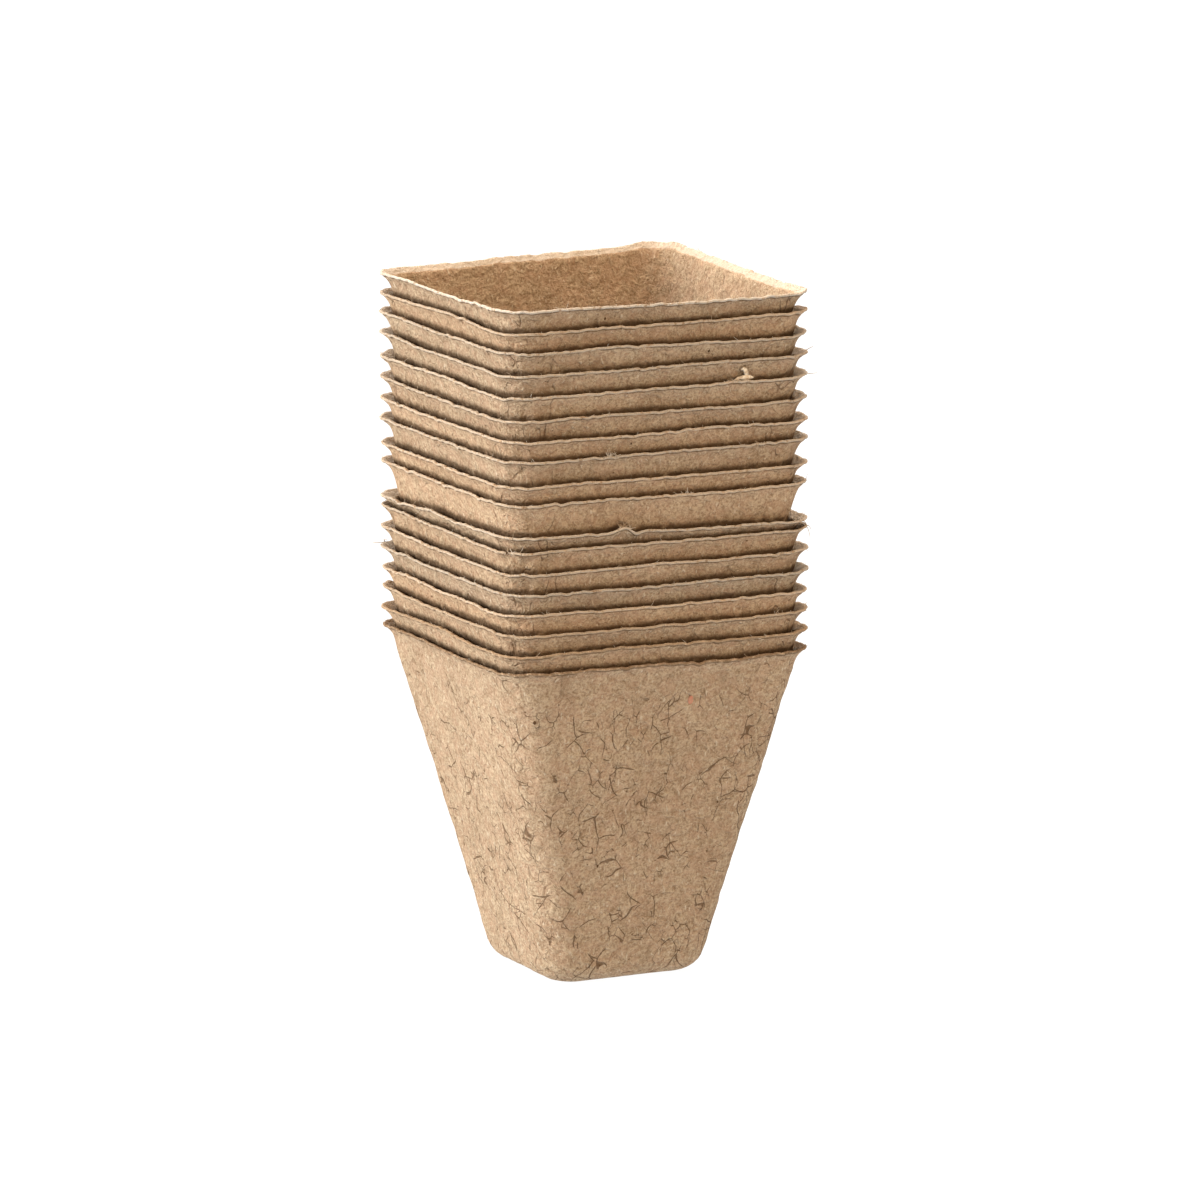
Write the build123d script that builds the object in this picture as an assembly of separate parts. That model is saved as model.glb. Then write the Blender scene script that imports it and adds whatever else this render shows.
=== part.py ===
from build123d import *

import math
import os

# A stack of square plant pots pressed from plant fibre, nested one in the other.
# Millimetres, +Z up, with the origin at the middle of the bottom pot's base.

# Sizes of one pot
pot_height = 80.0
mouth_width = 77.4           # where the straight line of the wall meets the height of the rim
base_width = 40.4            # where the same line meets the ground
wall = 0.83                  # level thickness of the pressed fibre in the four walls
floor_thickness = 1.2
corner_radius = 8.0          # seen from above, the same from the base to the rim
base_edge_radius = 6.0       # where the walls turn into the base
lip_flare = 1.3              # how far the rim stands out from the line of the wall
lip_height = 3.6             # how far down the wall the flare begins
drain_hole_diameter = 9.0

# The stack
pot_count = 18
nest_clearance = 0.2         # least level gap between the walls of two nested pots
floor_clearance = 1.0        # least gap between the floors of two nested pots
cut_overrun = 2.0            # how far a cutting body stands past the face it cuts

# Outline of the flared lip: share of its height, share of its reach
lip_outline_shares = [(0.0, 0.0), (0.35, 0.1), (0.65, 0.35), (0.85, 0.66), (1.0, 1.0)]

# Each pot sits a little differently in the one below: its rise as a share of the tightest nest,
# from the second pot of the stack up
rise_shares = [
    1.00, 1.09, 1.07, 1.08, 1.09, 1.17, 1.03, 1.41, 1.02,
    1.31, 1.05, 1.11, 1.22, 1.14, 1.21, 1.03, 1.18,
]

# Flat steps round the rounded base edge, and the largest share of a corner's radius that it may take
base_edge_steps = 6
base_edge_limit_share = 0.8

wall_slope = (mouth_width - base_width) / 2 / pot_height
wall_lean = math.atan(wall_slope)
nest_rise = max((wall + nest_clearance) / wall_slope, floor_thickness + floor_clearance)
outer_edge_radius = min(base_edge_radius, corner_radius * base_edge_limit_share)
inner_edge_radius = max(outer_edge_radius - wall, outer_edge_radius / 2)


def level_outline(height, inset):
    """Level face with round corners at this height over the pot's base, set in from the line of the wall."""
    width = base_width + 2 * wall_slope * height - 2 * inset
    return Pos(0, 0, height) * RectangleRounded(width, width, corner_radius - inset)


def lip_outline(height_share, reach_share, inset):
    """Level face of the flared lip. Its corners keep the radius of the wall's corners."""
    height = pot_height - lip_height * (1 - height_share)
    width = base_width + 2 * wall_slope * height + 2 * lip_flare * reach_share - 2 * inset
    return Pos(0, 0, height) * RectangleRounded(width, width, corner_radius - inset)


def edge_outlines(foot, inset, radius):
    """Level faces up the rounded edge, from the floor at this height to the straight wall."""
    outlines = []
    for step in range(base_edge_steps + 1):
        turn = (math.pi / 2 - wall_lean) * step / base_edge_steps
        rise = radius * (1 - math.cos(turn))
        inward = radius / math.cos(wall_lean) - wall_slope * (radius - rise) - radius * math.sin(turn)
        outlines.append(level_outline(foot + rise, inset + inward))
    return outlines


def pot_form(foot, inset, edge_radius):
    """Solid block from the floor at this height to the rim, set in from the pot's outside."""
    lip = [lip_outline(height_share, reach_share, inset) for height_share, reach_share in lip_outline_shares]
    return loft(edge_outlines(foot, inset, edge_radius) + lip, ruled=True)


def mouth_opener():
    """Cutting slab over the rim, so that the inside is cut open past it."""
    return extrude(lip_outline(*lip_outline_shares[-1], wall), amount=cut_overrun)


def drain_hole():
    """Upright cutting rod through the middle of the floor."""
    rod_length = floor_thickness + 2 * cut_overrun
    rod = Cylinder(drain_hole_diameter / 2, rod_length, align=(Align.CENTER, Align.CENTER, Align.MIN))
    return Pos(0, 0, -cut_overrun) * rod


def make_pot():
    """One pot, standing on the origin."""
    inside = pot_form(floor_thickness, wall, inner_edge_radius) + mouth_opener()
    return pot_form(0, 0, outer_edge_radius) - inside - drain_hole()


def base_heights():
    """Height of every pot's base over the ground, from the bottom of the stack up."""
    heights = [0.0]
    for index in range(pot_count - 1):
        rise = nest_rise * rise_shares[index % len(rise_shares)]
        heights.append(heights[-1] + rise)
    return heights


def write_pots():
    """Write each pot of the stack to a file of its own."""
    os.makedirs("parts", exist_ok=True)
    pot = make_pot()
    for number, height in enumerate(base_heights(), start=1):
        export_step(Pos(0, 0, height) * pot, f"parts/pot_{number:02d}.step")


write_pots()
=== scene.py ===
import math

import bmesh
import bpy
import numpy as np
from bpy.props import FloatProperty, FloatVectorProperty, IntProperty, PointerProperty
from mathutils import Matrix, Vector


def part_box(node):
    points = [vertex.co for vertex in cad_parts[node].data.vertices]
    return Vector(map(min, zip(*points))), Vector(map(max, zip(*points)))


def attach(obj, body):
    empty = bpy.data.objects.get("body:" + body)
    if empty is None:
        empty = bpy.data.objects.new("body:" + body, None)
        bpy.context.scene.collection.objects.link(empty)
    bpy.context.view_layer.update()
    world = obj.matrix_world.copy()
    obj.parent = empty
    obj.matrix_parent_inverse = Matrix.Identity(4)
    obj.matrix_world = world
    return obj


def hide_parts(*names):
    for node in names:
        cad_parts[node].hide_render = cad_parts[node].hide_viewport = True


bl_info = {
    "name": "Pressed fibre pots",
    "version": (1, 0, 0),
    "blender": (4, 5, 0),
    "location": "3D View > Sidebar > Pots",
    "description": "Dresses a stack of square plant pots in pressed plant fibre",
    "category": "Add Mesh",
}

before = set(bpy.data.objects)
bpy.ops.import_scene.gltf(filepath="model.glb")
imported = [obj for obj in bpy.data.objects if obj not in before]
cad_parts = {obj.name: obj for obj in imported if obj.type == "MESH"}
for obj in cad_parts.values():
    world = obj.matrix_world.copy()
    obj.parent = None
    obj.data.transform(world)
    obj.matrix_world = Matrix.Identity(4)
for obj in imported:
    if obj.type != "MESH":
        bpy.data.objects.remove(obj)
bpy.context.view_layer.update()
POT_NAMES = sorted(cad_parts)
MM = 0.001


# Sizes and colours that a user would change

def length(name, description, default):
    """A length in metres, shown in the scene's units."""
    return FloatProperty(name=name, description=description, default=default, min=0.0,
                         unit="LENGTH", subtype="DISTANCE", precision=5)


def amount(name, description, default):
    """A plain number that isn't negative."""
    return FloatProperty(name=name, description=description, default=default, min=0.0)


def angle(name, description, degrees):
    """An angle, given in degrees."""
    return FloatProperty(name=name, description=description, default=math.radians(degrees), subtype="ANGLE")


def colour(name, description, default):
    """A colour without alpha."""
    return FloatVectorProperty(name=name, description=description, default=default,
                               size=3, min=0.0, max=1.0, subtype="COLOR")


class PotSizes(bpy.types.PropertyGroup):
    """One pot as it left the press."""

    mouth_width: length("Mouth width", "Outside width where the wall's line meets the rim's height", 77.4 * MM)
    base_width: length("Base width", "Outside width where the wall's line meets the ground", 40.4 * MM)
    wall: length("Wall", "Thickness of the four walls", 0.83 * MM)
    floor: length("Floor", "Thickness of the floor", 1.2 * MM)
    corner: length("Corner", "Corner radius, seen from above", 8.0 * MM)
    base_edge: length("Base edge", "Radius where the walls turn into the base", 6.0 * MM)
    lip_reach: length("Lip reach", "How far the lip stands out from the wall's line", 1.3 * MM)
    lip_height: length("Lip height", "How far down the wall the lip begins", 3.6 * MM)
    drain_hole: length("Drain hole", "Diameter of the hole in the floor", 9.0 * MM)
    band_height: length("Band height", "Height of the finely meshed band under the rim", 9.0 * MM)


class PotWear(bpy.types.PropertyGroup):
    """How uneven the pressed fibre is."""

    rim_wave: length("Rim wave", "Slow rise and fall of the rim", 0.13 * MM)
    rim_tear: length("Rim tear", "Fine tears along the rim", 0.080 * MM)
    lip_wander: amount("Lip wander", "How unevenly the lip stands out", 0.11)
    wall_swell: length("Wall swell", "Slow swell of a wall that stands free", 0.16 * MM)
    wall_relief: length("Wall relief", "Fine relief of every wall", 0.03 * MM)
    wrinkle: length("Wrinkle", "Upright wrinkles under the lip's corners", 0.19 * MM)
    strand_count: IntProperty(name="Strands", description="Loose fibres on each rim", default=150, min=0)
    strand_radius: length("Strand radius", "Radius of a loose fibre", 0.055 * MM)
    seed: IntProperty(name="Seed", description="Start of every random draw", default=7)


class FibreLook(bpy.types.PropertyGroup):
    """Colours of the pressed fibre, and of the painted highlights and painted shade on it."""

    body: colour("Body", "Most of the surface", (0.366, 0.265, 0.172))
    pale: colour("Pale", "Pale fibres and grain", (0.570, 0.440, 0.305))
    deep: colour("Deep", "Dark grain and blotches", (0.225, 0.145, 0.085))
    # Painted highlights: pale flecks where light catches raised fibre
    fleck: colour("Fleck", "Small pale flecks", (0.640, 0.530, 0.400))
    ruddy: colour("Ruddy", "Slightly redder patches", (0.410, 0.245, 0.160))
    crack: colour("Crack", "Cracks and specks", (0.095, 0.050, 0.024))
    # Painted shade: the dark line in the crevices where the next rim sits and the line under the lip; the dark
    # specks use it too
    seam: colour("Seam", "Shade where the next rim sits, and under the lip", (0.075, 0.045, 0.025))
    # Partly paler torn fibre, partly a painted highlight of the light from above on the rims; loose fibres use
    # it too
    edge: colour("Edge", "Torn fibre along the rims", (0.60, 0.54, 0.46))
    flake: colour("Flake", "A curled flake of paler fibre", (0.72, 0.63, 0.50))


class StageLook(bpy.types.PropertyGroup):
    """Camera, floor and light."""

    camera_azimuth: angle("Camera azimuth", "Where the camera stands round the stack", -24.95)
    camera_elevation: angle("Camera elevation", "How high the camera stands over the horizon", 10.93)
    camera_roll: angle("Camera roll", "Turn of the camera about its own line of sight", -0.249)
    camera_distance: length("Camera distance", "From the middle of the stack to the camera", 2.172)
    stack_middle: length("Middle height", "Height of the point the camera stands round", 0.085)
    aim_aside: length("Aim aside", "How far to the right of that point the camera looks", 1.6 * MM)
    aim_over: length("Aim over", "How far above that point the camera looks", 3.07 * MM)
    camera_lens: amount("Camera lens", "Focal length in millimetres on a 36 mm sensor", 274.7)
    floor_size: length("Floor size", "Side of the floor", 60.0)
    floor_colour: colour("Floor colour", "Paint of the light table", (0.06, 0.06, 0.06))
    floor_glow: amount("Floor glow", "Light that the table gives off", 0.98)
    sky_strength: amount("Sky strength", "Even light from all round", 0.12)
    key_strength: amount("Key strength", "Soft light from the left", 6.4)
    key_colour: colour("Key colour", "Colour of the light from the left", (1.0, 0.96, 0.90))
    top_strength: amount("Top strength", "Soft light from above", 4.2)
    top_colour: colour("Top colour", "Colour of the light from above", (1.0, 0.80, 0.62))
    back_strength: amount("Back strength", "Soft light from behind", 3.6)
    back_colour: colour("Back colour", "Colour of the light from behind", (0.92, 0.96, 1.0))
    fill_strength: amount("Fill strength", "Soft light from the front", 2.25)
    fill_colour: colour("Fill colour", "Colour of the light from the front", (1.0, 0.74, 0.46))


# Shape of one pot

SIDE_STEPS = 84              # columns along one straight side
CORNER_STEPS = 20            # columns round one corner
CORNER_SHARE = 0.25          # corner radius of the unit outline that the columns are taken from

# Level rings up a wall that shows or is hidden, in the band under the lip, and across the floor
SHOWN_OUTER_STEPS, SHOWN_INNER_STEPS = 60, 50
HIDDEN_OUTER_STEPS, HIDDEN_INNER_STEPS = 12, 10
BAND_OUTER_STEPS, BAND_INNER_STEPS = 8, 4
FLOOR_STEPS = 7

# The lip from the wall up: depth under the rim as a share of the lip's height,
# and how far out from the wall's line as a share of the lip's reach
LIP_FOOT_SHARE = 1.5
OUTER_LIP_SHARES = [(1.15, 0.01), (0.92, 0.04), (0.74, 0.09), (0.60, 0.17), (0.50, 0.27), (0.42, 0.38),
                    (0.35, 0.50), (0.29, 0.60), (0.25, 0.66), (0.215, 0.70), (0.195, 0.73), (0.18, 0.82),
                    (0.16, 0.95), (0.13, 1.04), (0.085, 1.07), (0.04, 1.03)]
RIM_SHARES = [(0.012, 0.94), (0.0, 0.80), (0.005, 0.62)]
# The same down the inside, where the wall's inner line is one wall's thickness in
INNER_LIP_SHARES = [(0.03, 0.47), (0.08, 0.33), (0.15, 0.12), (0.22, -0.10), (0.29, -0.32), (0.335, -0.47),
                    (0.365, -0.56), (0.41, -0.60), (0.60, -0.625), (1.0, -0.638)]
LIP_CORNER_SHARE = 0.5       # share of the lip's reach that moves the corner's centre out


class Level:
    """One level ring of a pot: its height, the half side of its core square, its corner radius,
    how far it is gathered in to the drain hole, which side of the wall it is on and its lip's reach."""

    def __init__(self, height, core, radius, side, gather=0.0, reach=0.0):
        self.height, self.core, self.radius = height, core, radius
        self.side, self.gather, self.reach = side, gather, reach


class Profile:
    """The closed section of a pot, as level rings from the drain hole out, up, over and back in."""

    def __init__(self, sizes, pot_height, outer_steps, inner_steps):
        self.sizes, self.top = sizes, pot_height
        self.slope = (sizes.mouth_width - sizes.base_width) / 2 / pot_height
        self.levels = []
        self.add_floor(0.0, 0.0, +1)
        self.add_edge(0.0, 0.0, sizes.base_edge, +1)
        lip_foot = pot_height - sizes.lip_height * LIP_FOOT_SHARE
        band_foot = pot_height - sizes.band_height
        self.add_wall(self.levels[-1].height, band_foot, outer_steps, 0.0, +1)
        self.add_wall(band_foot, lip_foot, BAND_OUTER_STEPS, 0.0, +1)
        self.add_lip(OUTER_LIP_SHARES, +1)
        self.add_lip(RIM_SHARES, 0)
        self.add_lip(INNER_LIP_SHARES, -1)
        self.levels.append(self.level_on_wall(lip_foot, sizes.wall, -1))
        self.add_wall(lip_foot, band_foot, BAND_INNER_STEPS, sizes.wall, -1)
        start = len(self.levels)
        self.add_edge(sizes.floor, sizes.wall, sizes.base_edge - sizes.wall, -1)
        rising = self.levels[start:]
        del self.levels[start:]
        self.add_wall(band_foot, rising[-1].height, inner_steps, sizes.wall, -1)
        self.levels += rising[::-1][1:]
        start = len(self.levels)
        self.add_floor(sizes.floor, sizes.wall, -1)
        self.levels[start:] = self.levels[start:][::-1]

    def half_width(self, height):
        return self.sizes.base_width / 2 + self.slope * height

    def level_on_wall(self, height, inset, side):
        radius = self.sizes.corner
        return Level(height, self.half_width(height) - radius, radius - inset, side)

    def add_wall(self, low, high, steps, inset, side):
        for step in range(1, steps + 1):
            self.levels.append(self.level_on_wall(low + (high - low) * step / steps, inset, side))

    def add_edge(self, foot, inset, radius, side):
        """Rounded edge between the floor at this height and the wall."""
        lean = math.atan(self.slope)
        for step in range(FLOOR_STEPS + 1):
            turn = (math.pi / 2 - lean) * step / FLOOR_STEPS
            height = foot + radius * (1 - math.cos(turn))
            inward = self.slope * (height - foot - radius) + radius / math.cos(lean) - radius * math.sin(turn)
            self.levels.append(self.level_on_wall(height, inset + inward, side))

    def add_floor(self, height, inset, side):
        """Rings from the drain hole out to where the edge begins."""
        radius = self.sizes.base_edge - inset
        lean = math.atan(self.slope)
        inward = inset + radius / math.cos(lean) - self.slope * radius
        for step in range(FLOOR_STEPS):
            level = self.level_on_wall(height, inward, side)
            level.gather = 1 - step / FLOOR_STEPS
            self.levels.append(level)

    def add_lip(self, shares, side):
        for depth_share, reach_share in shares:
            height = self.top - self.sizes.lip_height * depth_share
            level = self.level_on_wall(height, 0.0, side)
            level.reach = reach_share * self.sizes.lip_reach
            self.levels.append(level)


def outline_of_columns():
    """Unit square with round corners as a bmesh ring, with each vertex's core place and outward direction."""
    ring = bmesh.new()
    bmesh.ops.create_grid(ring, x_segments=1, y_segments=1, size=1.0)
    bmesh.ops.bevel(ring, geom=list(ring.verts), offset=CORNER_SHARE, offset_type="OFFSET",
                    segments=CORNER_STEPS, profile=0.5, affect="VERTICES", material=-1)
    bmesh.ops.delete(ring, geom=list(ring.faces), context="FACES_ONLY")
    sides = [edge for edge in ring.edges if edge.calc_length() > CORNER_SHARE]
    bmesh.ops.subdivide_edges(ring, edges=sides, cuts=SIDE_STEPS - 1)
    ring.verts.ensure_lookup_table()
    core_side = 1 - CORNER_SHARE
    points = np.array([v.co[:2] for v in ring.verts])
    core = np.clip(points, -core_side, core_side)
    outward = points - core
    outward /= np.linalg.norm(outward, axis=1)[:, None]
    return ring, core / core_side, outward


class Weave:
    """The mesh that pots with the same number of level rings share: a ring of columns extruded level by level
    and closed on itself, with each vertex's level, its core place and its outward direction."""

    made = {}

    def __init__(self, level_count):
        self.ring, core, outward = outline_of_columns()
        column_mark = self.ring.verts.layers.int.new("column")
        level_mark = self.ring.verts.layers.int.new("level")
        for index, vertex in enumerate(self.ring.verts):
            vertex[column_mark] = index
        first = list(self.ring.edges)
        edges = first
        for level in range(1, level_count):
            made = bmesh.ops.extrude_edge_only(self.ring, edges=edges)["geom"]
            fresh = {item for item in made if isinstance(item, bmesh.types.BMVert)}
            for vertex in fresh:
                vertex[level_mark] = level
            edges = [item for item in made if isinstance(item, bmesh.types.BMEdge)
                     and item.verts[0] in fresh and item.verts[1] in fresh]
        last = list({vertex for edge in edges for vertex in edge.verts})
        bmesh.ops.translate(self.ring, verts=last, vec=Vector((0, 0, 1)))
        bmesh.ops.bridge_loops(self.ring, edges=first + edges)
        columns = np.array([vertex[column_mark] for vertex in self.ring.verts])
        self.levels = np.array([vertex[level_mark] for vertex in self.ring.verts])
        self.core, self.outward = core[columns], outward[columns]
        self.pattern = None

    @classmethod
    def of(cls, level_count):
        if level_count not in cls.made:
            cls.made[level_count] = cls(level_count)
        return cls.made[level_count]

    def mesh(self, places, name):
        """A copy of the mesh with its vertices in these places."""
        if self.pattern is None:
            for vertex, place in zip(self.ring.verts, places):
                vertex.co = place
            bmesh.ops.recalc_face_normals(self.ring, faces=list(self.ring.faces))
            for face in self.ring.faces:
                face.smooth = True
            self.pattern = bpy.data.meshes.new("weave")
            self.ring.to_mesh(self.pattern)
            self.ring.free()
            for mark in ("column", "level"):
                self.pattern.attributes.remove(self.pattern.attributes[mark])
        mesh = self.pattern.copy()
        mesh.name = name
        mesh.vertices.foreach_set("co", places.astype(np.float32).ravel())
        mesh.update()
        return mesh


PLANE_WAVES = 26             # plane waves that one random relief is made of

# Wavelengths in millimetres: how far the lip stands out, how high the rim is, and the relief of walls and floor
LIP_SLOW, LIP_QUICK = 26, 5
RIM_SLOW, RIM_QUICK, RIM_FRAY, RIM_TEARS = 34, 9, 2.6, 4.5
WALL_SLOW, WALL_QUICK, WALL_FINE = 24, 9, 3.2
WRINKLES, RUMPLE_RIDGES, FLOOR_SLOW = 2.6, 4.5, 7


def ripples(points, wavelength, seed):
    """Smooth random relief of unit strength: plane waves of about this length in random directions."""
    random = np.random.default_rng(seed)
    directions = random.normal(size=(PLANE_WAVES, 3))
    directions /= np.linalg.norm(directions, axis=1)[:, None]
    lengths = wavelength * random.uniform(0.7, 1.5, PLANE_WAVES)
    phases = random.uniform(0, 2 * math.pi, PLANE_WAVES)
    waves = np.cos(points @ (directions * (2 * math.pi / lengths)[:, None]).T + phases)
    return waves.sum(axis=1) / math.sqrt(PLANE_WAVES / 2)


def smooth_step(values, low, high):
    """0 below low, 1 above high, and an easy rise between."""
    rise = np.clip((values - low) / (high - low), 0, 1)
    return rise * rise * (3 - 2 * rise)


# What sets single pots apart. Corner names go with the signs of X and Y.
CORNERS = {"left": (-1, 1), "front": (-1, -1), "right": (1, -1), "back": (1, 1)}

# How far each corner of a rim hangs lower than the press left it, in millimetres
CORNER_SAGS = {
    8: {"left": 2.1, "front": 1.1, "right": 2.6, "back": 1.5},
    18: {"left": 0.9, "front": 0.0, "right": 0.8, "back": -0.2},
    16: {"right": 0.6},
    10: {"left": 0.4},
}


class Dent:
    """A place on a rim or wall that is pushed out, in or down, given in millimetres."""

    def __init__(self, x, y, depth, width, height, out=0.0, lift=0.0):
        self.x, self.y, self.depth = x * MM, y * MM, depth * MM
        self.width, self.height, self.out, self.lift = width * MM, height * MM, out * MM, lift * MM


DENTS = {
    8: [Dent(-11, -40, 0.4, 2.0, 2.0, out=0.8, lift=1.2),
        Dent(-7.2, -40, 1.0, 1.2, 1.6, out=-0.6, lift=-0.9),
        Dent(-40, 5, 0.4, 5.0, 2.0, out=0.3, lift=0.6),
        Dent(-40, 24, 0.4, 3.0, 2.0, out=0.2, lift=-0.5)],
    7: [Dent(-39, -36, 1.5, 1.3, 1.0, out=-0.8, lift=0.4),
        Dent(-36.5, -39, 2.8, 0.8, 1.2, out=-0.7),
        Dent(-34.5, -40, 2.2, 0.7, 1.3, out=0.4, lift=0.3),
        Dent(-32.5, -40, 2.6, 0.6, 1.6, out=-0.6)],
    14: [Dent(20, -40, 0.0, 3.0, 1.2, lift=0.3)],
    18: [Dent(33, 40, 0.3, 3.5, 1.6, out=0.3, lift=0.7),
         Dent(39, 36, 0.3, 3.0, 1.6, out=-0.4, lift=0.6)],
}


STRAND_STEPS = 5             # straight pieces of one loose fibre
TUFT_THICKNESS = 2.0         # of a fibre in a tuft, against a single one


class Tuft:
    """Loose fibres torn up together at one place on a rim, given in millimetres."""

    def __init__(self, x, y, count, reach):
        self.x, self.y, self.count, self.reach = x * MM, y * MM, count, reach * MM


TUFTS = {
    18: [Tuft(-12, -40, 5, 0.8)],
    15: [Tuft(40, -34, 1, 3.0)],
    14: [Tuft(17, -40, 7, 1.2), Tuft(40, -37, 2, 2.6)],
    13: [Tuft(-40, -22, 6, 1.1)],
    11: [Tuft(-13.2, -40, 26, 1.7), Tuft(24, -40, 9, 1.2)],
    9: [Tuft(6, -40, 12, 1.2)],
    8: [Tuft(-10.2, -40, 28, 1.5), Tuft(36, -40, 9, 1.3)],
    7: [Tuft(-38, -36, 18, 1.2), Tuft(40, -36, 3, 3.0)],
    5: [Tuft(-38, 38, 3, 3.2)],
    3: [Tuft(30, -40, 7, 1.2)],
}


# How pale the torn edge of a rim is, with painted light in it: 0 for the wall's colour, 1 for the edge colour,
# -1 for the deep colour
# Torn fibre is paler; beyond that the top pot's rim is palest as a painted highlight of the light from above,
# and the rims under other pots are duller as painted shade, darkest on the lowest pots
EDGE_PALENESS_AND_PAINTED_LIGHT = {1: -1.0, 2: -0.4, 3: 0.2, 18: 1.0}
EDGE_PALENESS_AND_PAINTED_LIGHT_ELSEWHERE = 0.50

# Crumpled patches: middle, radius and depth in millimetres, and the side of the wall, +1 for outside
RUMPLES = {
    1: [(-6.0, -29.0, 47.0, 14.0, 0.30, +1), (2.0, -31.0, 58.0, 10.0, 0.26, +1)],
    7: [(-37.0, -38.0, 107.5, 5.0, 0.45, +1)],
    18: [(36.0, 0.0, 156.0, 12.0, 0.50, -1), (35.0, 20.0, 152.0, 10.0, 0.45, -1)],
}

# The flake: along each strip its x, how far out, how far over the rim, half its width, all in millimetres,
# and its lean
FLAKE_POT = 14
FLAKE_STRIPS = [
    [(18.0, 39.3, 0.1, 0.15, 0.0), (18.9, 39.35, 0.55, 0.35, 0.2), (20.0, 39.45, 0.75, 0.45, 0.3),
     (21.2, 39.5, 0.70, 0.55, 0.2), (22.3, 39.4, 0.75, 0.50, -0.2), (23.2, 39.2, 0.60, 0.20, -0.4)],
    [(21.5, 39.3, 1.0, 0.45, 0.9), (21.3, 39.4, 1.8, 0.50, 1.0), (21.0, 39.45, 2.6, 0.42, 0.9),
     (20.5, 39.4, 3.0, 0.30, 0.6), (19.9, 39.3, 2.75, 0.15, 0.3)],
]

# Dark crumbs: x, y and height of the place, and their width, in millimetres
SPECKS = {
    1: [(-32.0, -35.6, 67.0, 1.1), (18.0, -30.0, 43.0, 0.7), (-12.0, -27.0, 30.0, 0.8)],
    7: [(-39.4, -36.2, 107.9, 1.3)],
    12: [(-8.0, -38.6, 132.0, 0.7)],
    16: [(12.0, -38.6, 152.6, 0.8)],
    18: [(-14.0, -38.3, 161.8, 0.8)],
}
# One reddish crumb on the bottom pot, given in the same way, and its colour
RUDDY_SPECK = (8.0, -36.3, 69.6, 2.2)
RUDDY_SPECK_COLOUR = (0.50, 0.21, 0.14)


# Marks for the material, by depth under the rim: torn edge with a painted highlight, painted shadow under the
# lip, and creases
EDGE_OUTSIDE, EDGE_INSIDE = 0.60 * MM, 1.15 * MM
SHADE_START, SHADE_FULL, SHADE_END = 0.64 * MM, 0.75 * MM, 1.1 * MM
CREASE_FULL, CREASE_END = 5 * MM, 12 * MM
INSIDE_EDGE_SHARE = 0.60     # the torn edge is fainter inside
INSIDE_CREASE_SHARE = 0.25   # few cracks inside
INNER_SEAM = 2.3 * MM        # how deep inside the next pot's wall meets this one's lip, where the painted shade inside the lip is placed
FAR = 99 * MM                # for walls that no rim shades


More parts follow.
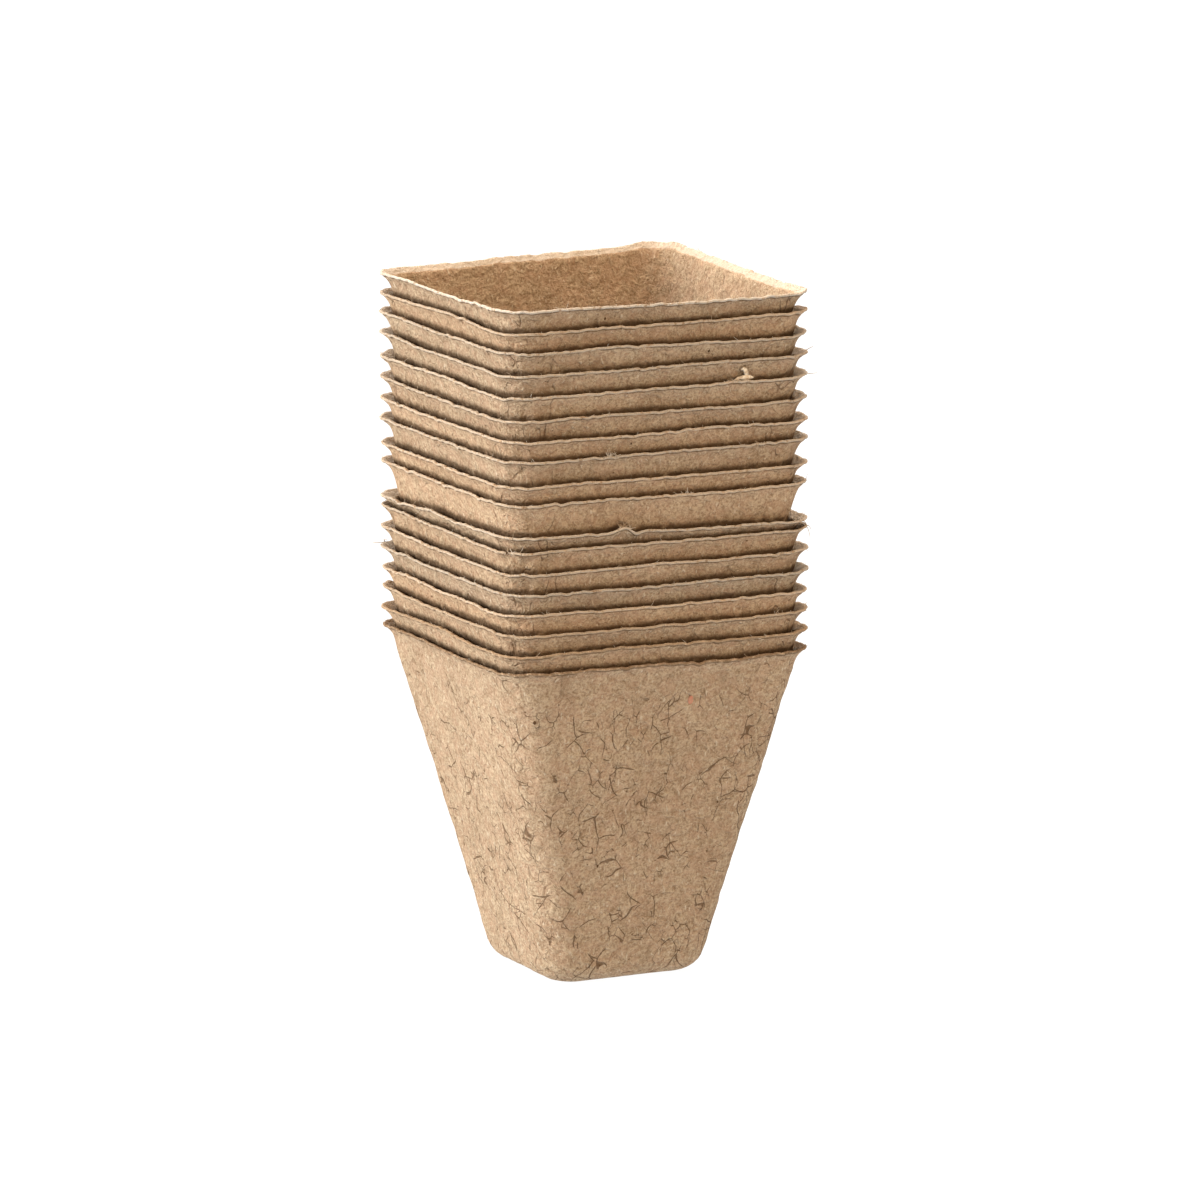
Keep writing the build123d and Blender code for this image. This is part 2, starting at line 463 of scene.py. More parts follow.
class Pot:
    """One pot of the stack, from its CAD node's place."""

    def __init__(self, number, sizes, wear):
        self.number, self.sizes, self.wear = number, sizes, wear
        self.name = POT_NAMES[number - 1]
        low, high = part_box(self.name)
        self.base, self.height = low.z, high.z - low.z
        self.is_bottom = number == 1
        self.is_top = number == len(POT_NAMES)
        self.seed = wear.seed * 1000 + number * 20

    def shell(self):
        """The pot's mesh."""
        outer_steps = SHOWN_OUTER_STEPS if self.is_bottom else HIDDEN_OUTER_STEPS
        inner_steps = SHOWN_INNER_STEPS if self.is_top else HIDDEN_INNER_STEPS
        levels = Profile(self.sizes, self.height, outer_steps, inner_steps).levels
        weave = Weave.of(len(levels))
        places, marks = self.places(levels, weave)
        mesh = weave.mesh(places, self.name + "_shell")
        for name, values in marks.items():
            mark = mesh.attributes.new(name, "FLOAT", "POINT")
            mark.data.foreach_set("value", values.astype(np.float32))
        return mesh

    def places(self, table, weave):
        """Where each vertex goes, and its marks for the material."""
        core, outward = weave.core, weave.outward
        height, half, radius, side, gather, reach = (
            np.array([getattr(level, key) for level in table])[weave.levels]
            for key in ("height", "core", "radius", "side", "gather", "reach"))
        depth = self.height - height
        flat = core * half[:, None] + outward * radius[:, None]
        mouth = self.rim_place(core, outward)
        reach = reach * self.lip_growth(mouth, core)
        flat = flat + core * (reach * LIP_CORNER_SHARE)[:, None]
        flat = flat + outward * (reach * (1 - LIP_CORNER_SHARE))[:, None]
        spoke = flat / np.maximum(np.linalg.norm(flat, axis=1), 1e-9)[:, None]
        hole = spoke * self.sizes.drain_hole / 2
        flat = flat * (1 - gather)[:, None] + hole * gather[:, None]
        solid = np.column_stack([flat, height + self.base])
        outset = self.relief(solid, depth, side, gather, core)
        rise = self.rim_rise(mouth, core) * (1 - smooth_step(depth, 0.0, self.sizes.band_height))
        rise = rise + self.floor_relief(solid, gather, depth)
        for dent in DENTS.get(self.number, []):
            nearness = self.nearness(dent, mouth, depth)
            outset = outset + dent.out * nearness
            rise = rise + dent.lift * nearness
        solid[:, :2] += outward * (outset * (1 - gather))[:, None]
        solid[:, 2] += rise
        return solid, self.marks(solid, depth, side, mouth, core)

    def marks(self, solid, depth, side, mouth, core):
        """What the material is told of each vertex."""
        cornerness = smooth_step(np.abs(core).min(axis=1), 0.80, 0.97)
        crease_fade = 1 - smooth_step(depth, CREASE_FULL, CREASE_END)
        creased = np.where(side > 0, (0.35 + 0.65 * cornerness) * crease_fade, INSIDE_CREASE_SHARE)
        # Inside the crumpled patches, crease lines are painted dark as the shade in the patch's valleys
        for _, facing, nearness in self.rumple_places(solid):
            if facing < 0:
                creased = np.maximum(creased, np.where(side < 0, nearness, 0.0))
        edge_outside = np.where(depth < EDGE_OUTSIDE, 1.0, 0.0)
        edge_inside = np.where(depth < EDGE_INSIDE, INSIDE_EDGE_SHARE, 0.0)
        shade = 1 - smooth_step(depth, SHADE_FULL, SHADE_END)
        # The mark under the lip places a painted shadow line there; the height over the rims places the painted
        # shade of the crevices between pots
        return {
            "rim_edge": np.where(side < 0, edge_inside, edge_outside),
            "undercut": np.where((side > 0) & (depth > SHADE_START), shade, 0.0),
            "creased": creased,
            "over_rim": self.over_rim(solid, depth, side, mouth, core) / MM,
        }

    def over_rim(self, solid, depth, side, mouth, core):
        """How far each vertex is over the place where a rim shades the wall. The material paints shade by it.
        """
        if self.is_bottom:
            outside = np.full(len(solid), FAR)
        else:
            below = Pot(self.number - 1, self.sizes, self.wear)
            rim = below.base + below.height + below.rim_lift(mouth, core)
            outside = solid[:, 2] - rim
        inside = np.full(len(solid), FAR) if self.is_top else INNER_SEAM - depth
        return np.where(side > 0, outside, np.where(side < 0, inside, FAR))

    def waves(self, points, wavelength, draw):
        """This pot's own random relief, its wavelength in millimetres. Each use has a draw of its own."""
        return ripples(points, wavelength * MM, self.seed + draw)

    def rim_place(self, core, outward):
        """Where a column meets the rim."""
        corner = self.sizes.corner
        half = self.sizes.mouth_width / 2 + self.sizes.lip_reach - corner
        flat = core * half + outward * corner
        return np.column_stack([flat, np.full(len(flat), self.base + self.height)])

    def lip_growth(self, mouth, core):
        """How much further out than usual the lip stands, column by column."""
        wander = self.wear.lip_wander
        cornerness = smooth_step(np.abs(core).min(axis=1), 0.93, 1.0)
        return (1 + wander * 0.7 * self.waves(mouth, LIP_SLOW, 1)
                + wander * 0.4 * self.waves(mouth, LIP_QUICK, 2) + 0.10 * cornerness)

    def rim_rise(self, mouth, core):
        """How much higher than usual the rim is, column by column."""
        wear = self.wear
        rise = wear.rim_wave * self.waves(mouth, RIM_SLOW, 3)
        rise += 0.35 * wear.rim_wave * self.waves(mouth, RIM_QUICK, 4)
        rise += wear.rim_tear * self.waves(mouth, RIM_FRAY, 5)
        tears = np.maximum(0, self.waves(mouth, RIM_TEARS, 6) - 1.1)
        rise -= 2.2 * wear.rim_tear * tears
        for corner, sag in CORNER_SAGS.get(self.number, {}).items():
            sign = np.array(CORNERS[corner])
            weight = (1 + core * sign) / 2
            rise -= sag * MM * weight[:, 0] * weight[:, 1]
        return rise

    def rim_lift(self, mouth, core):
        """The rim's rise with the dents in it."""
        lift = self.rim_rise(mouth, core)
        for dent in DENTS.get(self.number, []):
            lift = lift + dent.lift * self.nearness(dent, mouth, np.zeros(len(mouth)))
        return lift

    def relief(self, solid, depth, side, gather, core):
        """How far the wall is pushed out, level with the ground."""
        wear = self.wear
        free_out = 1.0 if self.is_bottom else 1 - smooth_step(depth, 4.5 * MM, 9 * MM)
        free_in = 1.0 if self.is_top else 1 - smooth_step(depth, 1.0 * MM, 2.5 * MM)
        free = np.where(side > 0, free_out, np.where(side < 0, free_in, 1.0))
        rim_quiet = smooth_step(depth, 0.0, 1.2 * MM)
        swell = wear.wall_swell * free * (0.75 * self.waves(solid, WALL_SLOW, 7)
                                          + 0.4 * self.waves(solid, WALL_QUICK, 8))
        fine = wear.wall_relief * (0.6 + 0.9 * free) * self.waves(solid, WALL_FINE, 9)
        stretched = solid * np.array([1, 1, 0.16])
        cornerness = 0.25 + 0.75 * smooth_step(np.abs(core).min(axis=1), 0.82, 0.97)
        near_lip = smooth_step(depth, 0.8 * MM, 2.2 * MM) * (1 - smooth_step(depth, 6 * MM, 14 * MM))
        folds = np.minimum(0, self.waves(stretched, WRINKLES, 10) + 0.3)
        wrinkles = wear.wrinkle * cornerness * near_lip * free * folds
        rumples = np.zeros(len(solid))
        for deep, facing, nearness in self.rumple_places(solid):
            slanting = solid @ np.array([[1, 0, 0.4], [0, 1, 0.4], [0, 0, 0.6]]).T
            ridges = np.maximum(0.7 - np.abs(self.waves(slanting, RUMPLE_RIDGES, 12)), -0.9)
            rumples += np.where(side == facing, deep * MM * nearness * ridges, 0.0)
        return (swell * (0.3 + 0.7 * rim_quiet) + (fine + rumples) * rim_quiet + wrinkles) * (1 - gather)

    def rumple_places(self, solid):
        """Each crumpled patch's depth and side, and how near to it every vertex is."""
        for x, y, z, radius, deep, facing in RUMPLES.get(self.number, []):
            distance = np.linalg.norm(solid - np.array([x, y, z]) * MM, axis=1)
            yield deep, facing, np.exp(-(distance / (radius * MM)) ** 2)

    def floor_relief(self, solid, gather, depth):
        """Slow rise and fall of the inside of the floor. The underside stays flat to stand on."""
        inside = (solid[:, 2] - self.base > self.sizes.floor / 2) & (depth > self.height / 2)
        relief = gather * self.wear.wall_relief * 2 * self.waves(solid, FLOOR_SLOW, 11)
        return np.where(inside, relief, 0.0)

    def nearness(self, dent, mouth, depth):
        """1 at the dent and falling off round it."""
        along = np.hypot(mouth[:, 0] - dent.x, mouth[:, 1] - dent.y) / dent.width
        down = (depth - dent.depth) / dent.height
        return np.exp(-along ** 2 - down ** 2)


def pots_of(scene):
    """Every pot of the stack, from the bottom up."""
    return [Pot(number, scene.pot_sizes, scene.pot_wear) for number in range(1, len(POT_NAMES) + 1)]


def mesh_of(form, name):
    """The bmesh as a mesh of this name. The bmesh is used up."""
    mesh = bpy.data.meshes.new(name)
    form.to_mesh(mesh)
    form.free()
    return mesh


def add_object(name, data, body, replaced=None):
    """Link a finished piece, tie it to its body, and hide the CAD part that it replaces."""
    piece = bpy.data.objects.new(name, data)
    bpy.context.scene.collection.objects.link(piece)
    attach(piece, body)
    if replaced:
        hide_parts(replaced)
    return piece


# Materials

class Nodes:
    """Adds and joins the nodes of one material."""

    def __init__(self, name):
        self.material = bpy.data.materials.new(name)
        self.material.use_nodes = True
        self.tree = self.material.node_tree
        self.tree.nodes.clear()

    def add(self, kind, inputs, output=0, **settings):
        """Add a node, set or join its inputs by name or number, and return one of its outputs."""
        node = self.tree.nodes.new("ShaderNode" + kind)
        for key, value in settings.items():
            setattr(node, key, value)
        for key, value in inputs.items():
            if isinstance(value, bpy.types.NodeSocket):
                self.tree.links.new(value, node.inputs[key])
            else:
                node.inputs[key].default_value = value
        return node.outputs[output] if node.outputs else None

    def grid(self, shift=(0.0, 0.0, 0.0)):
        """The object's own coordinates in millimetres, moved by this shift."""
        place = self.add("TexCoord", {}, output=3)
        return self.add("Mapping", {"Vector": place, "Location": shift, "Scale": (1 / MM, 1 / MM, 1 / MM)})

    def mark(self, name):
        """A mark that the mesh carries, as a number."""
        return self.add("Attribute", {}, output=2, attribute_name=name)

    def finish(self, inputs):
        """Join a shader with these inputs to the output, and return the material."""
        self.add("OutputMaterial", {"Surface": self.add("BsdfPrincipled", inputs)})
        return self.material

    def most(self, first, *others):
        """The largest of the values."""
        for other in others:
            first = self.math("MAXIMUM", first, other)
        return first

    def coat(self, base, coats):
        """Mix each coat's colour over the base, where its mask is and at its strength."""
        for mask, strength, paint in coats:
            base = self.mix(self.math("MULTIPLY", mask, strength), base, rgba(paint))
        return base

    def math(self, operation, first, second=0.0):
        return self.add("Math", {0: first, 1: second}, operation=operation)

    def mix(self, factor, first, second, blend="MIX"):
        return self.add("Mix", {0: factor, 6: first, 7: second}, output=2, data_type="RGBA", blend_type=blend)

    def ramp(self, value, low, high):
        """0 where the value is low and 1 where it is high, with an easy rise."""
        return self.add("MapRange", {"Value": value, "From Min": low, "From Max": high},
                        interpolation_type="SMOOTHSTEP", clamp=True)

    def noise(self, vector, per_mm, detail=2.0, roughness=0.5, distortion=0.0):
        return self.add("TexNoise", {"Vector": vector, "Scale": per_mm, "Detail": detail,
                                     "Roughness": roughness, "Distortion": distortion})

    def threads(self, vector, start, per_mm, thin, cover_per_mm, cover_low, cover_high, bend=0.0):
        """Thin wandering threads where a noise passes its middle value, if a slower noise allows."""
        moved = self.add("VectorMath", {0: vector, 1: start}, operation="ADD")
        wander = self.noise(moved, per_mm, 0.0, 0.5, bend)
        line = self.ramp(self.math("ABSOLUTE", self.math("SUBTRACT", wander, 0.5)), thin, 0.0)
        cover = self.ramp(self.noise(moved, cover_per_mm, 1.0), cover_low, cover_high)
        return self.math("MULTIPLY", line, cover)

    def drift(self, vector, per_mm, amount):
        """The vector pushed about by a slow noise."""
        noise = self.add("TexNoise", {"Vector": vector, "Scale": per_mm, "Detail": 1.5}, output=1)
        centred = self.add("VectorMath", {0: noise, 1: (0.5, 0.5, 0.5)}, operation="SUBTRACT")
        spread = self.add("VectorMath", {0: centred, 3: amount}, operation="SCALE")
        return self.add("VectorMath", {0: vector, 1: spread}, operation="ADD")

    def cracks(self, vector, start, per_mm, width, cover_per_mm, cover_low, cover_high):
        """Forked cracks along the borders of random cells. They taper where a slower noise runs out."""
        moved = self.add("VectorMath", {0: vector, 1: start}, operation="ADD")
        border = self.add("TexVoronoi", {"Vector": moved, "Scale": per_mm}, feature="DISTANCE_TO_EDGE")
        cover = self.ramp(self.noise(moved, cover_per_mm, 1.0), cover_low, cover_high)
        return self.ramp(self.math("SUBTRACT", self.math("MULTIPLY", cover, width), border), 0.0, width * 0.5)


def rgba(values):
    return (*values, 1.0)


WHITE = (1.0, 1.0, 1.0, 1.0)


# Pattern of the pressed fibre, in waves or cells per millimetre. The flecks are painted highlights, and the
# last two numbers set how patchy the painted shade under the lip and over the rims is
GRAIN, PITH, MOTTLE, BLOTCH = 1.7, 0.62, 0.30, 0.055
FLECK, FOLD, SPECK, FRAY, SHADE, CREVICE_SHADE = 1.25, 0.33, 0.22, 0.9, 0.25, 0.35

# How the pattern is pushed about: waves per millimetre, and how far in millimetres
BENT, SWUNG = (0.30, 1.6), (0.13, 6.0)

# Threads and cracks: start of the pattern, waves or cells per millimetre, width, and the noise
# that lets them show: waves per millimetre, low end and high end
PALE_THREADS = [((7, 3, 1), 0.55, 0.060, 0.8, 0.48, 0.60), ((31, 17, 5), 0.85, 0.070, 1.0, 0.50, 0.62)]
DARK_THREADS = [((53, 29, 11), 0.42, 0.040, 0.6, 0.54, 0.64), ((71, 41, 19), 0.80, 0.055, 0.9, 0.55, 0.66)]
CREASES = ((3, 5, 7), 0.40, 0.040, 0.30, 0.50, 0.64)
LONG_CRACKS = ((0, 0, 0), 0.105, 0.017, 0.13, 0.51, 0.64)
SHORT_CRACKS = [((13, 7, 5), 0.20, 0.024, 0.20, 0.52, 0.66), ((41, 3, 19), 0.34, 0.030, 0.28, 0.53, 0.67)]


class Fibre(Nodes):
    """Pressed plant fibre. shift moves its pattern, so that no two pots have the same."""

    def __init__(self, name, shift):
        super().__init__(name)
        self.place = grid = self.grid(shift)
        upright = self.add("Mapping", {"Vector": grid, "Scale": (1.0, 1.0, 0.28)})
        bent, swung = self.drift(grid, *BENT), self.drift(grid, *SWUNG)
        tall = self.add("Mapping", {"Vector": swung, "Scale": (1.0, 1.0, 0.65)})
        slanted = self.add("Mapping", {"Vector": bent, "Rotation": (0.6, 0.5, 0.4), "Scale": (1.0, 1.0, 0.45)})
        self.grain = self.noise(grid, GRAIN, 2.5, 0.72)
        self.pith = self.noise(bent, PITH, 2.0, 0.66)
        self.mottle = self.noise(grid, MOTTLE, 2.0, 0.6)
        self.blotch = self.noise(grid, BLOTCH, 2.0, 0.55)
        self.pale_threads = self.most(*(self.threads(bent, *layer) for layer in PALE_THREADS))
        self.dark_threads = self.most(*(self.threads(bent, *layer) for layer in DARK_THREADS))
        # Flecks: painted highlights where light catches raised fibre
        self.flecks = self.ramp(self.noise(slanted, FLECK, 1.0, 0.5), 0.64, 0.76)
        self.folds = self.noise(bent, FOLD, 1.5, 0.5, 0.8)
        self.forks = self.cracks_and_creases(swung, tall, upright)

    def cracks_and_creases(self, swung, tall, upright):
        """Forked cracks where the fibre isn't creased, and upright creases where it is."""
        cracks = self.most(self.cracks(swung, *LONG_CRACKS),
                           *(self.cracks(tall, *layer) for layer in SHORT_CRACKS))
        creased = self.mark("creased")
        cracks = self.math("MULTIPLY", cracks, self.ramp(creased, 0.30, 0.05))
        creases = self.math("MULTIPLY", self.threads(upright, *CREASES), creased)
        return self.most(cracks, self.math("MULTIPLY", creases, 0.9))

    def colour(self, look, edge_colour_with_painted_light, tint):
        """The fibre's colour, from the ground up to the painted shade under the rims."""
        patch = self.ramp(self.blotch, 0.40, 0.62)
        # Painted shade in the low places of the fold relief, within the blotches
        hollow_shade = self.math("MULTIPLY", self.ramp(self.folds, 0.46, 0.34), patch)
        specks = self.add("TexVoronoi", {"Vector": self.place, "Scale": SPECK}, feature="F1")
        base = self.mix(self.ramp(self.grain, 0.34, 0.66), rgba(look.deep), rgba(look.pale))
        base = self.mix(0.60, rgba(look.body), base)
        base = self.coat(base, [
            (self.ramp(self.pith, 0.50, 0.66), 0.42, look.pale),
            (self.ramp(self.pith, 0.45, 0.30), 0.38, look.deep),
            (self.ramp(self.mottle, 0.40, 0.62), 0.30, look.ruddy),
            (patch, 0.12, look.deep),
            (hollow_shade, 0.40, look.deep),
            (self.pale_threads, 0.50, look.pale),
            (self.dark_threads, 0.60, look.deep),
            (self.flecks, 0.60, look.fleck),
            (self.forks, 0.70, look.crack),
            (self.ramp(specks, 0.070, 0.035), 0.75, look.crack),
            # Painted light in the last three coats: a highlight mixed into the paler torn fibre of the rims, a
            # shadow line under the lip, and shade in the crevices between pots
            (self.torn_edge_with_painted_light(), 0.80, edge_colour_with_painted_light),
            (self.shade_under_lip(), 0.75, look.seam),
            (self.painted_shade_over_rim(), 0.88, look.seam),
        ])
        return self.mix(1.0, base, rgba(tint), "MULTIPLY")

    def torn_edge_with_painted_light(self):
        """Patchy along the rim, even down the inside of the lip. Paler torn fibre with a painted highlight in
        it.
        """
        edge = self.mark("rim_edge")
        torn = self.ramp(self.noise(self.place, FRAY, 2.0, 0.6), 0.30, 0.52)
        return self.math("MULTIPLY", edge, self.most(torn, self.ramp(edge, 0.90, 0.70)))

    # Painted shadow in a line under the lip, patchy along the rim
    def shade_under_lip(self):
        return self.math("MULTIPLY", self.mark("undercut"),
                         self.ramp(self.noise(self.place, SHADE, 2.0), 0.30, 0.50))

    def painted_shade_over_rim(self):
        """Painted crevice shade: a dark line where the rim of the pot below sits, fading up and down the wall,
        and the same inside the lip where the next pot's wall sits.
        """
        over = self.mark("over_rim")
        seam = self.math("MULTIPLY", self.ramp(over, 1.25, -0.1), self.ramp(over, -3.0, -0.8))
        return self.math("MULTIPLY", seam, self.ramp(self.noise(self.place, CREVICE_SHADE, 2.0), 0.05, 0.50))

    def relief(self):
        """Height of the surface, for the bump."""
        height = self.math("MULTIPLY", self.grain, 0.75)
        for pattern, strength in (
            (self.pith, 1.20), (self.ramp(self.folds, 0.30, 0.70), 0.55), (self.flecks, 0.22),
            (self.pale_threads, 0.15), (self.dark_threads, -0.15), (self.forks, -0.55),
        ):
            height = self.math("ADD", height, self.math("MULTIPLY", pattern, strength))
        return height

    def paint(self, look, edge_colour_with_painted_light, tint):
        """The finished material. tint is the pot's own shade."""
        bump = self.add("Bump", {"Height": self.relief(), "Strength": 1.0, "Distance": 0.50 * MM})
        return self.finish({"Base Color": self.colour(look, edge_colour_with_painted_light, tint), "Normal": bump,
                            "Roughness": 1.0, "Specular IOR Level": 0.08})


def strand_material(name, look):
    """Single loose fibres, paler than the wall."""
    nodes = Nodes(name)
    tone = nodes.ramp(nodes.noise(nodes.grid(), 0.4, 1.0), 0.35, 0.65)
    paint = nodes.mix(tone, rgba(look.body), rgba(look.edge))
    return nodes.finish({"Base Color": paint, "Roughness": 0.8, "Specular IOR Level": 0.3})


def scrap_material(name, first, second):
    """Two close shades of fibre in small patches."""
    nodes = Nodes(name)
    patches = nodes.noise(nodes.grid(), 1.6, 2.0, 0.6)
    paint = nodes.mix(nodes.ramp(patches, 0.40, 0.62), rgba(first), rgba(second))
    bump = nodes.add("Bump", {"Height": patches, "Strength": 1.0, "Distance": 0.2 * MM})
    return nodes.finish({"Base Color": paint, "Normal": bump, "Roughness": 0.9, "Specular IOR Level": 0.15})


# Operators

PATTERN_SPREAD = 300         # how far apart two pots' patterns are taken from, in millimetres
TONE_SPREAD, WARMTH_SPREAD = 0.05, 0.03    # how much two pots' shades differ


class POTS_OT_shells(bpy.types.Operator):
    """Make the pressed shell of every pot in the stack"""

    bl_idname = "pots.shells"
    bl_label = "Pressed shells"

    def execute(self, context):
        scene = context.scene
        look = scene.fibre_look
        random = np.random.default_rng(scene.pot_wear.seed)
        for pot in pots_of(scene):
            piece = add_object(pot.name + "_shell", pot.shell(), pot.name, pot.name)
            shift = tuple(random.uniform(-PATTERN_SPREAD, PATTERN_SPREAD, 3))
            tone = 1 + TONE_SPREAD * random.uniform(-1, 1)
            warmth = WARMTH_SPREAD * random.uniform(-1, 1)
            tint = (tone * (1 + warmth), tone, tone * (1 - warmth))
            # The edge colour carries painted light: palest on the top pot as a painted highlight, duller on the
            # pots below as painted shade
            paleness_with_painted_light = EDGE_PALENESS_AND_PAINTED_LIGHT.get(pot.number, EDGE_PALENESS_AND_PAINTED_LIGHT_ELSEWHERE)
            edge = Vector(look.body).lerp(Vector(look.edge if paleness_with_painted_light > 0 else look.deep), abs(paleness_with_painted_light))
            piece.data.materials.append(Fibre(pot.name + "_fibre", shift).paint(look, edge, tint))
        return {"FINISHED"}


class POTS_OT_strands(bpy.types.Operator):
    """Scatter loose fibres along every rim"""

    bl_idname = "pots.strands"
    bl_label = "Loose fibres"

    def execute(self, context):
        scene = context.scene
        paint = strand_material("loose_fibre", scene.fibre_look)
        for pot in pots_of(scene):
            mesh = self.tubes(self.strands(pot, scene.pot_wear))
            piece = add_object(pot.name + "_strands", mesh, pot.name)
            piece.data.materials.append(paint)
        return {"FINISHED"}

    def tubes(self, curve):
        """The curve as a closed mesh. A curve's own bounds reach far past its fibres."""
        holder = bpy.data.objects.new(curve.name, curve)
        mesh = bpy.data.meshes.new_from_object(holder)
        bpy.data.objects.remove(holder)
        bpy.data.curves.remove(curve)
        form = bmesh.new()
        form.from_mesh(mesh)
        bmesh.ops.remove_doubles(form, verts=list(form.verts), dist=0.0005 * MM)
        bmesh.ops.recalc_face_normals(form, faces=list(form.faces))
        form.to_mesh(mesh)
        form.free()
        return mesh

    def strands(self, pot, wear):
        """Short bent fibres that start in the rim."""
        random = np.random.default_rng(pot.seed + 15)
        curve = bpy.data.curves.new(pot.name + "_strands", "CURVE")
        curve.dimensions = "3D"
        curve.bevel_depth = wear.strand_radius
        curve.bevel_resolution = 0
        curve.resolution_u = 2
        curve.use_fill_caps = True
        ring, core, outward = outline_of_columns()
        ring.free()
        mouth = pot.rim_place(core, outward)
        lift = pot.rim_lift(mouth, core)
        for _ in range(wear.strand_count):
            column = random.integers(len(core))
            reach = random.gamma(2.2, 0.30) * MM
            self.strand(curve, random, mouth[column], lift[column], outward[column], reach)
        for tuft in TUFTS.get(pot.number, []):
            distance = np.hypot(mouth[:, 0] - tuft.x, mouth[:, 1] - tuft.y)
            nearest = np.argsort(distance)[:4]
            for _ in range(tuft.count):
                column = random.choice(nearest)
                reach = tuft.reach * random.uniform(0.6, 1.3)
                self.strand(curve, random, mouth[column], lift[column], outward[column], reach, TUFT_THICKNESS)
        return curve

    def strand(self, curve, random, mouth, lift, outward, reach, thickness=1.0):
        """One bent fibre with its foot in the rim."""
        out = Vector((*outward, 0))
        along = Vector((-out.y, out.x, 0)) * random.choice((-1, 1))
        foot = Vector(mouth) + Vector((0, 0, lift - random.uniform(0.0, 0.4) * MM))
        foot -= out * random.uniform(0.25, 0.55) * MM
        heading = along * random.uniform(0.2, 1.0) + out * random.uniform(-0.15, 0.45)
        heading += Vector((0, 0, random.uniform(-0.4, 0.9)))
        heading.normalize()
        bend = Vector(random.normal(size=3)) * 0.6
        spline = curve.splines.new("POLY")
        spline.points.add(STRAND_STEPS)
        place = foot - heading * 0.15 * MM
        for step, point in enumerate(spline.points):
            point.co = (*place, 1.0)
            point.radius = thickness * (1.0 - 0.5 * step / STRAND_STEPS)
            heading = (heading + bend * 0.35).normalized()
            place = place + heading * reach / STRAND_STEPS


class POTS_OT_scraps(bpy.types.Operator):
    """Add the curled flake on one rim and the dark specks pressed into the walls"""

    bl_idname = "pots.scraps"
    bl_label = "Scraps"

    def execute(self, context):
        look = context.scene.fibre_look
        flake = self.flake()
        flake.data.materials.append(scrap_material("flake_fibre", look.flake, look.pale))
        bark = scrap_material("speck_bark", look.crack, look.seam)
        bottom = POT_NAMES[0]
        ruddy = add_object(bottom + "_ruddy_speck", self.specks(bottom, [RUDDY_SPECK]), bottom)
        ruddy.data.materials.append(scrap_material("speck_ruddy", RUDDY_SPECK_COLOUR, look.ruddy))
        for number, specks in SPECKS.items():
            name = POT_NAMES[number - 1]
            piece = add_object(name + "_specks", self.specks(name, specks), name)
            piece.data.materials.append(bark)
        return {"FINISHED"}

    def flake(self):
        """Two curled strips torn up from the rim of the pot that carries them."""
        name = POT_NAMES[FLAKE_POT - 1]
        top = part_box(name)[1].z
        form = bmesh.new()
        for strip in FLAKE_STRIPS:
            first = len(form.verts)
            bmesh.ops.create_grid(form, x_segments=len(strip) - 1, y_segments=2, size=1.0)
            form.verts.ensure_lookup_table()
            for vertex in form.verts[first:]:
                step = round((vertex.co.x + 1) / 2 * (len(strip) - 1))
                x, out, rise, half, lean = strip[step]
                across = vertex.co.y
                vertex.co = Vector((x + lean * across * half, -out, top / MM + rise + across * half)) * MM
                vertex.co.y -= 0.12 * MM * (1 - across ** 2)
        bmesh.ops.solidify(form, geom=list(form.faces), thickness=0.22 * MM)
        bmesh.ops.recalc_face_normals(form, faces=list(form.faces))
        for face in form.faces:
            face.smooth = True
        return add_object(name + "_flake", mesh_of(form, name + "_flake"), name)

    def specks(self, name, specks):
        """Flat dark crumbs, half sunk in the wall at the place on the shell that is nearest."""
        shell = bpy.data.objects[name + "_shell"].data
        crumbs = bmesh.new()
        for x, y, z, width in specks:
            aim = Vector((x, y, z)) * MM
            vertex = min(shell.vertices, key=lambda v: (v.co - aim).length_squared)
            made = bmesh.ops.create_icosphere(crumbs, subdivisions=2, radius=width / 2 * MM)["verts"]
            bmesh.ops.scale(crumbs, verts=made, vec=Vector((1.0, 0.65, 0.28)))
            turn = vertex.normal.to_track_quat("Z", "X").to_matrix()
            bmesh.ops.rotate(crumbs, verts=made, matrix=turn)
            bmesh.ops.translate(crumbs, verts=made, vec=vertex.co)
        return mesh_of(crumbs, name + "_specks")


# Each lamp's turn from straight down and how wide it looks, in degrees
LAMPS = {"key": ((81, 0, -104), 36), "top": ((0, 0, 0), 50),
         "back": ((52, 0, 165), 40), "fill": ((80, 0, 8), 60)}


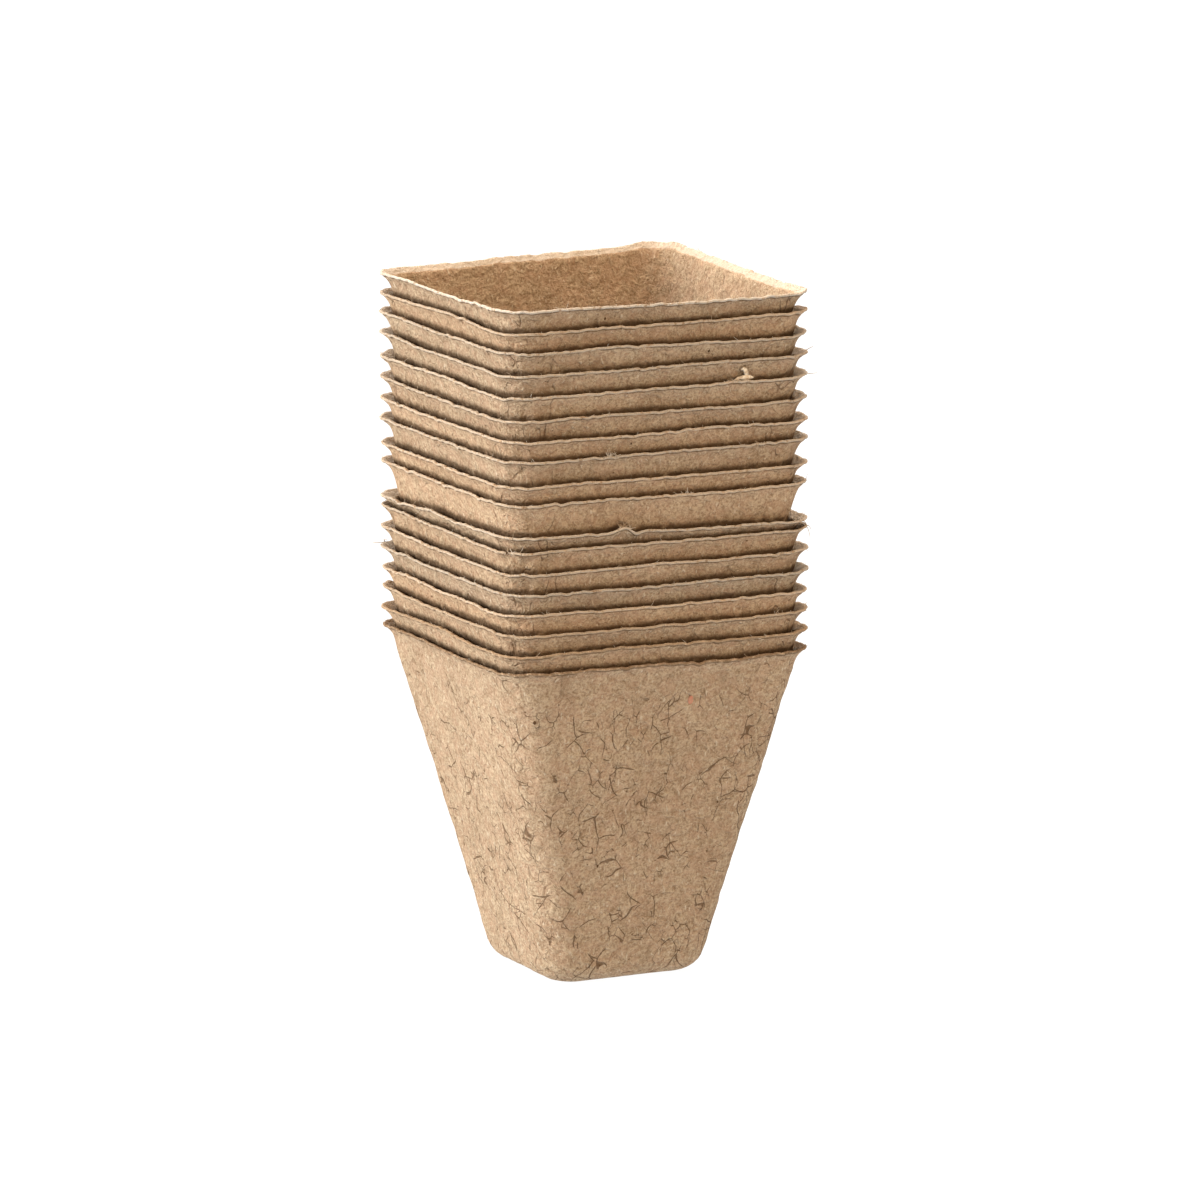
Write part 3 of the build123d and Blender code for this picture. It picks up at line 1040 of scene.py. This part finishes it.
class POTS_OT_stage(bpy.types.Operator):
    """Set the floor, the light and the camera"""

    bl_idname = "pots.stage"
    bl_label = "Stage"

    def execute(self, context):
        scene = context.scene
        look = scene.stage_look
        self.floor(scene, look)
        self.sky(scene, look)
        for name, (turn, spread) in LAMPS.items():
            strength, tint = getattr(look, name + "_strength"), getattr(look, name + "_colour")
            self.lamp(scene, name + "_light", strength, tint, turn, spread)
        self.camera(scene, look)
        scene.view_settings.view_transform = "Standard"
        return {"FINISHED"}

    def floor(self, scene, look):
        slab = bmesh.new()
        bmesh.ops.create_grid(slab, x_segments=1, y_segments=1, size=look.floor_size / 2)
        mesh = mesh_of(slab, "floor")
        mesh.materials.append(Nodes("floor_paint").finish({
            "Base Color": rgba(look.floor_colour), "Roughness": 0.9, "Specular IOR Level": 0.1,
            "Emission Color": WHITE, "Emission Strength": look.floor_glow,
        }))
        piece = bpy.data.objects.new("floor", mesh)
        scene.collection.objects.link(piece)

    def sky(self, scene, look):
        world = bpy.data.worlds.new("studio")
        world.use_nodes = True
        background = world.node_tree.nodes["Background"]
        background.inputs["Color"].default_value = WHITE
        background.inputs["Strength"].default_value = look.sky_strength
        scene.world = world

    def lamp(self, scene, name, strength, tint, turn, spread):
        """A far soft light."""
        light = bpy.data.lights.new(name, "SUN")
        light.energy, light.color, light.angle = strength, tint, math.radians(spread)
        piece = bpy.data.objects.new(name, light)
        piece.rotation_euler = [math.radians(angle) for angle in turn]
        scene.collection.objects.link(piece)

    def camera(self, scene, look):
        azimuth, elevation = look.camera_azimuth, look.camera_elevation
        back = Vector((math.sin(azimuth) * math.cos(elevation), -math.cos(azimuth) * math.cos(elevation),
                       math.sin(elevation)))
        side = Vector((math.cos(azimuth), math.sin(azimuth), 0))
        over = back.cross(side)
        middle = Vector((0, 0, look.stack_middle))
        lens = bpy.data.cameras.new("camera")
        lens.sensor_width, lens.lens = 36.0, look.camera_lens
        lens.clip_start, lens.clip_end = 0.01, 100.0
        piece = bpy.data.objects.new("camera", lens)
        piece.location = middle + back * look.camera_distance
        aim = middle + side * look.aim_aside + over * look.aim_over
        facing = (aim - piece.location).to_track_quat("-Z", "Y")
        piece.rotation_euler = facing.to_euler()
        piece.rotation_euler.rotate_axis("Z", look.camera_roll)
        scene.collection.objects.link(piece)
        scene.camera = piece


class POTS_PT_panel(bpy.types.Panel):
    """Lists the steps in order"""

    bl_label = "Pressed fibre pots"
    bl_idname = "POTS_PT_panel"
    bl_space_type = "VIEW_3D"
    bl_region_type = "UI"
    bl_category = "Pots"

    def draw(self, context):
        column = self.layout.column()
        for name in ("pot_sizes", "pot_wear", "fibre_look", "stage_look"):
            group = getattr(context.scene, name)
            for key in group.bl_rna.properties.keys():
                if key not in ("rna_type", "name"):
                    column.prop(group, key)
        for step in OPERATORS:
            column.operator(step.bl_idname)


GROUPS = {"pot_sizes": PotSizes, "pot_wear": PotWear, "fibre_look": FibreLook, "stage_look": StageLook}
OPERATORS = (POTS_OT_stage, POTS_OT_shells, POTS_OT_strands, POTS_OT_scraps)


CLASSES = (*GROUPS.values(), *OPERATORS, POTS_PT_panel)


def register():
    for item in CLASSES:
        bpy.utils.register_class(item)
    for name, group in GROUPS.items():
        setattr(bpy.types.Scene, name, PointerProperty(type=group))


def unregister():
    for name in GROUPS:
        delattr(bpy.types.Scene, name)
    for item in reversed(CLASSES):
        bpy.utils.unregister_class(item)


def main():
    register()
    bpy.ops.pots.stage()
    bpy.ops.pots.shells()
    bpy.ops.pots.strands()
    bpy.ops.pots.scraps()


if __name__ == "__main__":
    main()
